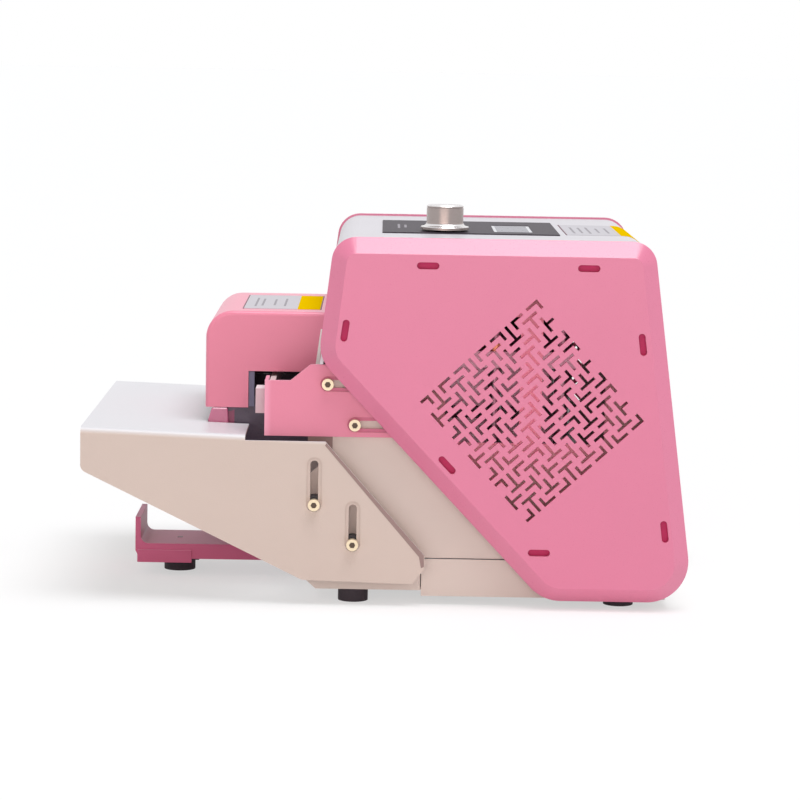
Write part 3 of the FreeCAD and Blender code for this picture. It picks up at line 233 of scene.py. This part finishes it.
# Brown painted shade, for a skirt band and a stay that stand in shade.
SHADE_BROWN = material("painted_shade_brown", rgb(150, 124, 120), rough=0.5)
NAVY = material("head_navy", rgb(104, 100, 126), rough=0.35)
NOSE_PINK = material("nose_pink", rgb(194, 96, 134), rough=0.1, grain=500, bump=0.05, coat=0.6, shine=0.9)
SEAM_WHITE = material("seam_white", rgb(250, 244, 240), rough=0.5)


# Camera, fitted to the outline of the machine in the photograph

PHOTO_WIDE_PX = 800
FOCAL_PX = 2908
# The sensor is in millimetres, as Blender has it, and the roll in radians.
SENSOR_WIDE = 36
CAMERA_ROLL = 0.018
CAMERA_PLACE = Vector((-0.00365, -2.220, 0.4133))
CAMERA_REACH = 50
# The pitch and the turn, as steps in pixels at a round focal length.
AIM_FOCAL_PX = 2900
AIM_DOWN_PX = 365
AIM_RIGHT_PX = 18


def aim_camera():
    """A camera that is pitched down, turned and rolled a little."""
    pitch = math.atan(AIM_DOWN_PX / AIM_FOCAL_PX)
    yaw = math.atan(AIM_RIGHT_PX / AIM_FOCAL_PX)
    level = math.cos(pitch)
    forward = Vector((math.sin(yaw) * level, math.cos(yaw) * level, -math.sin(pitch)))
    right = forward.cross(Vector((0, 0, 1))).normalized()
    up = right.cross(forward)
    side = right * math.cos(CAMERA_ROLL) + up * math.sin(CAMERA_ROLL)
    top = up * math.cos(CAMERA_ROLL) - right * math.sin(CAMERA_ROLL)
    turn = Matrix((side, top, -forward)).transposed()
    data = bpy.data.cameras.new("camera")
    data.sensor_width = SENSOR_WIDE
    data.lens = FOCAL_PX * SENSOR_WIDE / PHOTO_WIDE_PX
    data.clip_end = CAMERA_REACH
    camera = bpy.data.objects.new("camera", data)
    camera.matrix_world = Matrix.Translation(CAMERA_PLACE) @ turn.to_4x4()
    scene.collection.objects.link(camera)
    scene.camera = camera


aim_camera()


# Lamps and world

SUN_STRENGTH = 2.1
SUN_WIDE = 40
SUN_TILT = (12, 10, 0)
SUN_COLOUR = (0.97, 0.98, 1.0)
FILL_COLOUR = (1.0, 0.82, 0.72)
GLOW_COLOUR = (1.0, 0.22, 0.42)
# The middle of the grilles, and a place just inside them.
GRILLE_X = 0.1
GRILLE_Z = 0.165
GLOW_Y = 0.1462
WORLD_LIGHT = 0.45
WORLD_WHITE = 1.0


def softbox(name, place, target, size, power, colour):
    """A studio light with a rectangular face turned towards a point."""
    data = bpy.data.lights.new(name, "AREA")
    data.shape = "RECTANGLE"
    data.size, data.size_y = size
    data.energy = power
    data.color = colour
    lamp = bpy.data.objects.new(name, data)
    lamp.location = place
    lamp.rotation_euler = (Vector(target) - Vector(place)).to_track_quat("-Z", "Y").to_euler()
    lamp.visible_camera = False
    scene.collection.objects.link(lamp)


def sky_light():
    """Soft light from above, as from a wide ceiling panel."""
    data = bpy.data.lights.new("sky_light", "SUN")
    data.energy = SUN_STRENGTH
    data.angle = math.radians(SUN_WIDE)
    data.color = SUN_COLOUR
    lamp = bpy.data.objects.new("sky_light", data)
    lamp.rotation_euler = [math.radians(tilt) for tilt in SUN_TILT]
    scene.collection.objects.link(lamp)


def white_share(tree):
    """One for what the camera, a mirror or glass sees, nought for the light on the object."""
    path = tree.nodes.new("ShaderNodeLightPath")
    share = path.outputs["Is Camera Ray"]
    for ray in ("Is Glossy Ray", "Is Transmission Ray"):
        larger = tree.nodes.new("ShaderNodeMath")
        larger.operation = "MAXIMUM"
        tree.links.new(share, larger.inputs[0])
        tree.links.new(path.outputs[ray], larger.inputs[1])
        share = larger.outputs["Value"]
    return share


def studio_world():
    """A white surround for the camera and the reflections, with less light on the object."""
    world = bpy.data.worlds.new("studio")
    world.use_nodes = True
    tree = world.node_tree
    backdrop = tree.nodes["Background"]
    backdrop.inputs["Color"].default_value = (1, 1, 1, 1)
    level = tree.nodes.new("ShaderNodeMapRange")
    level.inputs["To Min"].default_value = WORLD_LIGHT
    level.inputs["To Max"].default_value = WORLD_WHITE
    tree.links.new(white_share(tree), level.inputs["Value"])
    tree.links.new(level.outputs["Result"], backdrop.inputs["Strength"])
    scene.world = world


softbox("front_fill", place=(-0.3, -2.8, 0.75), target=(0, 0, 0.12), size=(2.4, 1.2), power=14,
        colour=FILL_COLOUR)
# A faint lamp behind each grille gives back the pink light that the cover throws inwards.
for side in (-1, 1):
    softbox(f"grille_glow_{side}", place=(GRILLE_X, side * GLOW_Y, GRILLE_Z),
            target=(GRILLE_X, 0, GRILLE_Z), size=(0.1, 0.1), power=0.024, colour=GLOW_COLOUR)
sky_light()
studio_world()
scene.view_settings.view_transform = "Standard"


# Rounded edges

EDGE_ANGLE = 35
EDGE_WIDTHS = {
    "right_side_cover": 0.5,
    "left_side_cover": 0.5,
    "feed_table": 0.9,
    "output_tray": 0.6,
    "right_feed_bracket": 1.1,
    "left_feed_bracket": 1.1,
    "feed_head_cover": 0.5,
    "right_side_plate": 0.4,
    "left_side_plate": 0.4,
    "right_base_strip": 0.5,
    "left_base_strip": 0.5,
    "rubber_feet": 0.8,
    "tray_foot": 0.8,
    "socket_screws": 0.4,
    "wrap_panel": 0.4,
}


def round_edges(thing, width, segments=2):
    """Small rounded edges on a node or a piece."""
    step = thing.modifiers.new("edge", "BEVEL")
    step.width = width * MM
    step.segments = segments
    return step


for name, width in EDGE_WIDTHS.items():
    rounding = round_edges(nodes[name], width)
    rounding.limit_method = "ANGLE"
    rounding.angle_limit = math.radians(EDGE_ANGLE)
    rounding.harden_normals = True


# Shapes that the pieces are made from

SHARP_ANGLE = 30


def mesh(name, points, faces, finish, body="frame"):
    """A closed piece that rides with a body."""
    data = bpy.data.meshes.new(name)
    data.from_pydata([tuple(part * MM for part in point) for point in points], [], faces)
    form = bmesh.new()
    form.from_mesh(data)
    bmesh.ops.recalc_face_normals(form, faces=form.faces)
    form.to_mesh(data)
    form.free()
    thing = bpy.data.objects.new(name, data)
    scene.collection.objects.link(thing)
    data.materials.append(finish)
    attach(thing, body)
    return thing


def prism(name, outline, y, finish, body="frame"):
    """A plate with an outline drawn in the side view, between two places across the machine."""
    count = len(outline)
    points = [(x, place, z) for place in y for x, z in outline]
    faces = [tuple(range(count)), tuple(range(count, 2 * count))]
    for corner in range(count):
        after = (corner + 1) % count
        faces.append((corner, after, after + count, corner + count))
    return mesh(name, points, faces, finish, body)


def slab(name, x, y, z, finish, body="frame"):
    """A block between two places along each axis."""
    outline = [(x[0], z[0]), (x[1], z[0]), (x[1], z[1]), (x[0], z[1])]
    return prism(name, outline, y, finish, body)


def turned(name, outline, centre, finish, body, steps=96):
    """A piece turned on an upright axis, with a flat face at both ends of its outline."""
    points = []
    for radius, z in outline:
        for step in range(steps):
            angle = math.tau * step / steps
            points.append((centre.x + radius * math.cos(angle), centre.y + radius * math.sin(angle), z))
    faces = [tuple(range(steps)), tuple(range(len(points) - steps, len(points)))]
    for ring in range(len(outline) - 1):
        for step in range(steps):
            near = ring * steps + step
            far = ring * steps + (step + 1) % steps
            faces.append((near, far, far + steps, near + steps))
    thing = mesh(name, points, faces, finish, body)
    thing.data.shade_smooth()
    thing.data.set_sharp_from_angle(angle=math.radians(SHARP_ANGLE))
    return thing


def stadium(start, end, radius, steps=12):
    """Points round a slot with round ends, in the side view."""
    run = (end - start).normalized()
    rise = Vector((-run.y, run.x))
    points = []
    for centre, turn in ((end, -90), (start, 90)):
        for step in range(steps + 1):
            angle = math.radians(turn + 180 * step / steps)
            points.append(centre + run * radius * math.cos(angle) + rise * radius * math.sin(angle))
    return points


def box_mm(node):
    """The lowest and highest corner of a node in millimetres."""
    low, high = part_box(node)
    return Vector(low) / MM, Vector(high) / MM


def span(base, ends):
    """Two places along one axis, given as distances from a face of a node."""
    return [base + end for end in ends]


def across(side, base, ends):
    """Two places across the machine on one of its sides, as distances from a face on that side."""
    return [side * (base + end) for end in ends]


def moved(outline, x, z):
    """An outline in the side view, shifted from its own corner to a place on the machine."""
    return [(x + along, z + up) for along, up in outline]


# Boxes of the nodes that carry the pieces below.
cover_face = box_mm("left_side_cover")[1].y
panel_top = box_mm("wrap_panel")[1].z
plate_low = box_mm("left_side_plate")[0]
bracket_low, bracket_high = box_mm("left_feed_bracket")
arm_low, arm_high = box_mm("left_feed_arm")
head_low, head_high = box_mm("feed_head_cover")
table_low, table_high = box_mm("feed_table")
tray_low, tray_high = box_mm("output_tray")
overlay_low, overlay_high = box_mm("control_overlay")
display_low, display_high = box_mm("lcd_module")
inlet_low, inlet_high = box_mm("power_inlet")
knob_low, knob_high = box_mm("control_knob")


# Clips behind the edge slots of the side covers, deep magenta: the pink inside of the cover painted as it
# looks in shade

# Middle of each slot in the side view, and its turn in degrees.
EDGE_SLOTS = (
    (27.6, 249.5, 0), (142.6, 249.5, 0), (-31.0, 202.0, 82), (182.4, 195.5, -82.5),
    (43.9, 106.0, -46.5), (111.5, 43.0, 0), (201.8, 60.0, -82.5),
)
CLIP_LONG = 19.0
CLIP_WIDE = 7.6
CLIP_Y = (-4.6, -3.6)


def edge_clip(name, x, z, turn, side):
    """A clip behind one slot, turned with it, in the deep magenta of painted shade."""
    run = Vector((math.cos(math.radians(turn)), math.sin(math.radians(turn))))
    rise = Vector((-run.y, run.x))
    outline = []
    for along, up in ((-1, -1), (1, -1), (1, 1), (-1, 1)):
        outline.append(Vector((x, z)) + run * along * CLIP_LONG / 2 + rise * up * CLIP_WIDE / 2)
    prism(name, outline, across(side, cover_face, CLIP_Y), SHADED_SLOT_BACK)


for side, word in SIDES:
    for number, (x, z, turn) in enumerate(EDGE_SLOTS):
        edge_clip(f"{word}_shaded_slot_back_{number}", x, z, turn, side)


# Label films, with plain bars where the photograph has print

FILM = (-0.2, 0.25)
PRINT = (0.0, 0.3)
BAR_WIDE = 1.6
LABEL_LONG = 40
LABEL_EDGE = 0.9
HEAD_LABEL_X = head_low.x + 26.8
HEAD_LABEL_Y = (-58, 53)
HEAD_STRIPE = 17
REAR_LABEL_X = overlay_high.x + 6
REAR_LABEL_Y = (-59, 54)
# The rounded rear corner of the wrapping panel, over which the yellow stripe runs.
CORNER_X = 174.2
CORNER_RADIUS = 16.5
STRIPE_ANGLE = 50
STRIPE_STEPS = 12
# How far each bar lies behind the front of its label or overlay, and its reach to the right and left.
HEAD_BARS = ((7, 40, 28), (12, 34, 22), (21, 30, 18), (29, 36, 24))
REAR_BARS = ((6, 40, 26), (12, 36, 22), (18, 40, 26), (25, 30, 16), (32, 34, 20))
OVERLAY_BARS = ((11.5, 22, 22), (16.5, 16, 16))
OVERLAY_BAR_WIDE = 1.8
OVERLAY_PRINT = (-0.2, 0.06)
SCREEN_BORDER = 6.5
SCREEN_Z = (-0.4, 0.2)


def print_bars(name, front, bars, wide, z):
    """Plain bars in place of lines of print."""
    for number, (along, right, left) in enumerate(bars):
        start = front + along
        slab(f"{name}_bar_{number}", (start, start + wide), (-right, left), z, PRINT_GREY)


def corner_stripe():
    """The outline of a film that starts on the top and bends down over its rear corner."""
    sides = []
    for height in FILM:
        radius = CORNER_RADIUS + height
        path = [(REAR_LABEL_X + LABEL_LONG, panel_top + height)]
        for step in range(STRIPE_STEPS + 1):
            angle = math.radians(90 - STRIPE_ANGLE * step / STRIPE_STEPS)
            up = panel_top - CORNER_RADIUS + radius * math.sin(angle)
            path.append((CORNER_X + radius * math.cos(angle), up))
        sides.append(path)
    under, over = sides
    return over + under[::-1]


def head_label():
    """The white and yellow label on the feed head, with its dark ends."""
    front = HEAD_LABEL_X
    stripe = front + LABEL_LONG
    rear = stripe + HEAD_STRIPE
    front_edge = (front - LABEL_EDGE, front)
    rear_edge = (rear, rear + LABEL_EDGE)
    film = span(head_high.z, FILM)
    slab("head_label", (front, stripe), HEAD_LABEL_Y, film, WHITE_FILM)
    slab("head_label_stripe", (stripe, rear), HEAD_LABEL_Y, film, YELLOW_FILM)
    slab("head_label_edge_front", front_edge, HEAD_LABEL_Y, film, DARK_EDGE)
    slab("head_label_edge_rear", rear_edge, HEAD_LABEL_Y, film, DARK_EDGE)
    print_bars("head_label", front, HEAD_BARS, BAR_WIDE, span(head_high.z, PRINT))


def rear_label():
    """The white and yellow label at the rear of the top, with its dark front end."""
    front = REAR_LABEL_X
    film = span(panel_top, FILM)
    slab("rear_label", (front, front + LABEL_LONG), REAR_LABEL_Y, film, WHITE_FILM)
    prism("rear_label_stripe", corner_stripe(), REAR_LABEL_Y, YELLOW_FILM)
    slab("rear_label_edge", (front - LABEL_EDGE, front), REAR_LABEL_Y, film, DARK_EDGE)
    print_bars("rear_label", front, REAR_BARS, BAR_WIDE, span(panel_top, PRINT))


def overlay_print():
    """Bars on the dark overlay and the glass of the display."""
    print_bars("overlay", overlay_low.x, OVERLAY_BARS, OVERLAY_BAR_WIDE,
               span(overlay_high.z, OVERLAY_PRINT))
    slab("lcd_screen", (display_low.x + SCREEN_BORDER, display_high.x - SCREEN_BORDER),
         (display_low.y + SCREEN_BORDER, display_high.y - SCREEN_BORDER),
         span(display_high.z, SCREEN_Z), GREY_SCREEN)


head_label()
rear_label()
overlay_print()


# Screw sockets, and shallow recesses round the slots that the screws stand in

# Places of the screws in the side view, and the lengths of their slots.
BRACKET_SCREWS = ((-43.0, 161.4), (-23.0, 132.0))
BRACKET_SLOTS = (24, 24)
TABLE_SCREWS = ((-51.7, 74.6), (-23.5, 45.9))
TABLE_SLOTS = (29, 26)
SOCKET_CORNERS = 6
SOCKET_RADIUS = 2.2
SOCKET_Y = (4.4, 4.7)
RECESS_RADIUS = 5.45
SLOT_RADIUS = 2.92
RECESS_Y = (-0.8, -0.68)


def socket_floor(name, x, z, face, side):
    """The six-sided floor of a screw socket, just below the face of the head, dark with painted shade."""
    outline = []
    for corner in range(SOCKET_CORNERS):
        angle = math.tau * corner / SOCKET_CORNERS
        outline.append((x + SOCKET_RADIUS * math.cos(angle), z + SOCKET_RADIUS * math.sin(angle)))
    prism(name, outline, across(side, face, SOCKET_Y), SOCKET_SHADE)


def recess_floor(name, start, end, y, finish, body):
    """The flat floor of the recess round one slot, a ring with round ends, a little darker than the face
    round it as painted shade.
    """
    deep, shallow = y
    rings = ((RECESS_RADIUS, deep), (RECESS_RADIUS, shallow), (SLOT_RADIUS, shallow), (SLOT_RADIUS, deep))
    points = []
    for radius, place in rings:
        points += [(spot.x, place, spot.y) for spot in stadium(start, end, radius)]
    count = len(points) // len(rings)
    faces = []
    for ring in range(len(rings)):
        near = ring * count
        far = (ring + 1) % len(rings) * count
        for corner in range(count):
            after = (corner + 1) % count
            faces.append((near + corner, near + after, far + after, far + corner))
    mesh(name, points, faces, finish, body)


def bracket_fixings(side, word):
    """The sockets and recesses of one bracket, whose slots run along the machine."""
    depth = across(side, bracket_high.y, RECESS_Y)
    for number, (x, z) in enumerate(BRACKET_SCREWS):
        start = Vector((x, z))
        end = start + Vector((BRACKET_SLOTS[number], 0))
        socket_floor(f"{word}_bracket_socket_{number}", x, z, bracket_high.y, side)
        recess_floor(f"{word}_bracket_recess_{number}", start, end, depth,
                     RECESS_SHADE_PINK, "gate")


def table_fixings(side, word):
    """The sockets and recesses of one skirt of the table, whose slots run upwards."""
    depth = across(side, table_high.y, RECESS_Y)
    for number, (x, z) in enumerate(TABLE_SCREWS):
        start = Vector((x, z))
        end = start + Vector((0, TABLE_SLOTS[number]))
        socket_floor(f"{word}_table_socket_{number}", x, z, table_high.y, side)
        recess_floor(f"{word}_table_recess_{number}", start, end, depth,
                     RECESS_SHADE_WHITE, "table")


for side, word in SIDES:
    bracket_fixings(side, word)
    table_fixings(side, word)


# Small pieces on both sides

# Each X, Y and Z is a pair of distances from a face of the node that the piece sits on.
GATE_PAD_X = (-6.8, -0.1)
GATE_PAD_Y = (3.2, 24.2)
GATE_PAD_Z = (15.6, 33.6)
STAY_X = (9, 27)
STAY_Y = (1, 2.8)
STAY_Z = (-15, 0.4)
BAFFLE_X = (26.3, 30.4)
BAFFLE_Y = (0, 1.8)
BAFFLE_Z = (0.8, 27.0)
TRAY_BLOCK_X = (1.5, 43)
TRAY_BLOCK_Y = (-0.4, 1)
TRAY_BLOCK_Z = (-3, 6.8)
TRAY_BLOCK_EDGE = 0.4
# Outlines in the side view, from a corner: the table's lower rear one, the arm's lower front one and the
# head's upper front one.
SKIRT_BAND = ((-72.2, 102.4), (-0.4, 21.4), (-0.3, 13.0), (-2.4, 12.0), (-4.0, 20.2), (-73.2, 100.6))
BAND_Y = (-0.1, 0.12)
ARM_NOSE = ((-3.6, 18.0), (-3.6, 23.0), (-1.0, 31.8), (10.8, 31.8), (11.8, 18.0))
NOSE_Y = (0, 3.6)
NOSE_EDGE = 1.2
NOSE_SEGMENTS = 3
HEAD_SEAM = ((84.9, -12.4), (85.9, -12.4), (84.4, -40.0), (81.3, -40.0))
SEAM_Y = (-0.1, 0.25)


def gate_pad(side, word):
    """The pale pad at the front end of a bracket."""
    slab(f"{word}_gate_pad", span(bracket_low.x, GATE_PAD_X), across(side, bracket_low.y, GATE_PAD_Y),
         span(bracket_low.z, GATE_PAD_Z), GATE_PAD, "gate")


def bracket_stay(side, word):
    """The stay below a bracket, at the front edge of the side plate, brown with painted shade."""
    slab(f"{word}_bracket_stay", span(plate_low.x, STAY_X), across(side, plate_low.y, STAY_Y),
         span(bracket_low.z, STAY_Z), SHADE_BROWN)


def skirt_band(side, word):
    """A brown band of painted shade along the slanted edge of a skirt."""
    prism(f"{word}_skirt_band", moved(SKIRT_BAND, table_high.x, table_low.z),
          across(side, table_high.y, BAND_Y), SHADE_BROWN, "table")


def arm_nose(side, word):
    """The glossy pink nose on a feed arm, in the notch of the table."""
    nose = prism(f"{word}_arm_nose", moved(ARM_NOSE, arm_low.x, arm_low.z),
                 across(side, arm_high.y, NOSE_Y), NOSE_PINK)
    round_edges(nose, NOSE_EDGE, NOSE_SEGMENTS)


def head_baffle(side, word):
    """The navy strip at the front of the head opening."""
    slab(f"{word}_head_baffle", span(arm_low.x, BAFFLE_X), across(side, arm_high.y, BAFFLE_Y),
         span(head_low.z, BAFFLE_Z), NAVY)


def head_seam(side, word):
    """The pale strip at the rear end of the head."""
    prism(f"{word}_head_seam", moved(HEAD_SEAM, head_low.x, head_high.z),
          across(side, head_high.y, SEAM_Y), SEAM_WHITE)


def tray_block(side, word):
    """The block along one side of the tray, at its front."""
    block = slab(f"{word}_tray_block", span(tray_low.x, TRAY_BLOCK_X),
                 across(side, tray_high.y, TRAY_BLOCK_Y), span(tray_low.z, TRAY_BLOCK_Z),
                 TRAY_PINK, "tray")
    round_edges(block, TRAY_BLOCK_EDGE)


for side, word in SIDES:
    gate_pad(side, word)
    bracket_stay(side, word)
    skirt_band(side, word)
    arm_nose(side, word)
    head_baffle(side, word)
    head_seam(side, word)
    tray_block(side, word)


# Screw head on the floor of the tray

TRAY_SCREW_X = (30, 34)
TRAY_SCREW_Y = (-2, 2)
TRAY_SCREW_Z = (11.1, 11.65)
slab("tray_screw", span(tray_low.x, TRAY_SCREW_X), TRAY_SCREW_Y, span(tray_low.z, TRAY_SCREW_Z),
     ARM_BLACK, "tray")


# Three flat pins in the well of the inlet

# How far each pin lies beside and above the middle of the inlet.
INLET_PINS = ((-7, -2), (0, 2), (7, -2))
PIN_Y = (-1, 1)
PIN_Z = (-2, 2)
WELL_FLOOR = 3
PIN_INSET = 5


def inlet_pin(number, beside, above):
    """A pin that stands on the floor of the well and ends a little inside its rim."""
    middle = (inlet_low + inlet_high) / 2
    slab(f"inlet_pin_{number}", (inlet_low.x + WELL_FLOOR, inlet_high.x - PIN_INSET),
         span(middle.y + beside, PIN_Y), span(middle.z + above, PIN_Z), MATERIALS["steel"])


for number, (beside, above) in enumerate(INLET_PINS):
    inlet_pin(number, beside, above)


# Turned knob: a grip with a fine groove, flared to a rim

GRIP_RADIUS = 13.75
BORE_RADIUS = 3.05
BORE_END = 3.9
RIM_TALL = 2.6
RIM_EDGE = 0.4
FLARE_TALL = 3.0
FLARE_STEPS = 8
# How far each point of the grip lies inside its face and below its top, from the groove to the top.
GRIP_POINTS = ((0, 2.0), (0.3, 1.8), (0.3, 1.6), (0, 1.4), (0, 0.8), (0.8, 0), (1.5, 0), (1.9, 0.25))


def knob_outline():
    """Half the section of the knob, from its bore round the rim and up to its top."""
    radius = (knob_high.x - knob_low.x) / 2
    rim_top = knob_low.z + RIM_TALL
    outline = [
        (BORE_RADIUS, knob_high.z - BORE_END),
        (BORE_RADIUS, knob_low.z),
        (radius - RIM_EDGE, knob_low.z),
        (radius, knob_low.z + RIM_EDGE),
        (radius, rim_top - RIM_EDGE),
    ]
    for step in range(FLARE_STEPS + 1):
        angle = math.radians(90 * step / FLARE_STEPS)
        reach = GRIP_RADIUS + (radius - RIM_EDGE - GRIP_RADIUS) * (1 - math.sin(angle))
        outline.append((reach, rim_top + FLARE_TALL * (1 - math.cos(angle))))
    for inside, below in GRIP_POINTS:
        outline.append((GRIP_RADIUS - inside, knob_high.z - below))
    return outline


knob = turned("turned_knob", knob_outline(), (knob_low + knob_high) / 2, MATERIALS["turned_aluminium"],
              "knob")
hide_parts("control_knob")


# White floor

FLOOR_WIDE = 60
FLOOR_WHITE = 0.55


def floor_paper():
    """White paper that keeps shadows, lifted for the camera and for reflections only."""
    paper = material("floor", rgb(246, 246, 246), rough=0.9, grain=300, vary=0.01, bump=0.0, shine=0.0)
    tree = paper.node_tree
    glow = tree.nodes.new("ShaderNodeEmission")
    glow.inputs["Color"].default_value = (1, 1, 1, 1)
    glow.inputs["Strength"].default_value = 1.0
    lift = tree.nodes.new("ShaderNodeMapRange")
    lift.inputs["To Max"].default_value = FLOOR_WHITE
    tree.links.new(white_share(tree), lift.inputs["Value"])
    merge = tree.nodes.new("ShaderNodeMixShader")
    tree.links.new(lift.outputs["Result"], merge.inputs["Fac"])
    tree.links.new(tree.nodes["Principled BSDF"].outputs["BSDF"], merge.inputs[1])
    tree.links.new(glow.outputs["Emission"], merge.inputs[2])
    tree.links.new(merge.outputs["Shader"], tree.nodes["Material Output"].inputs["Surface"])
    return paper


bpy.ops.mesh.primitive_plane_add(size=FLOOR_WIDE, location=(0, 0, 0))
floor = bpy.context.object
floor.name = "floor"
floor.data.materials.append(floor_paper())
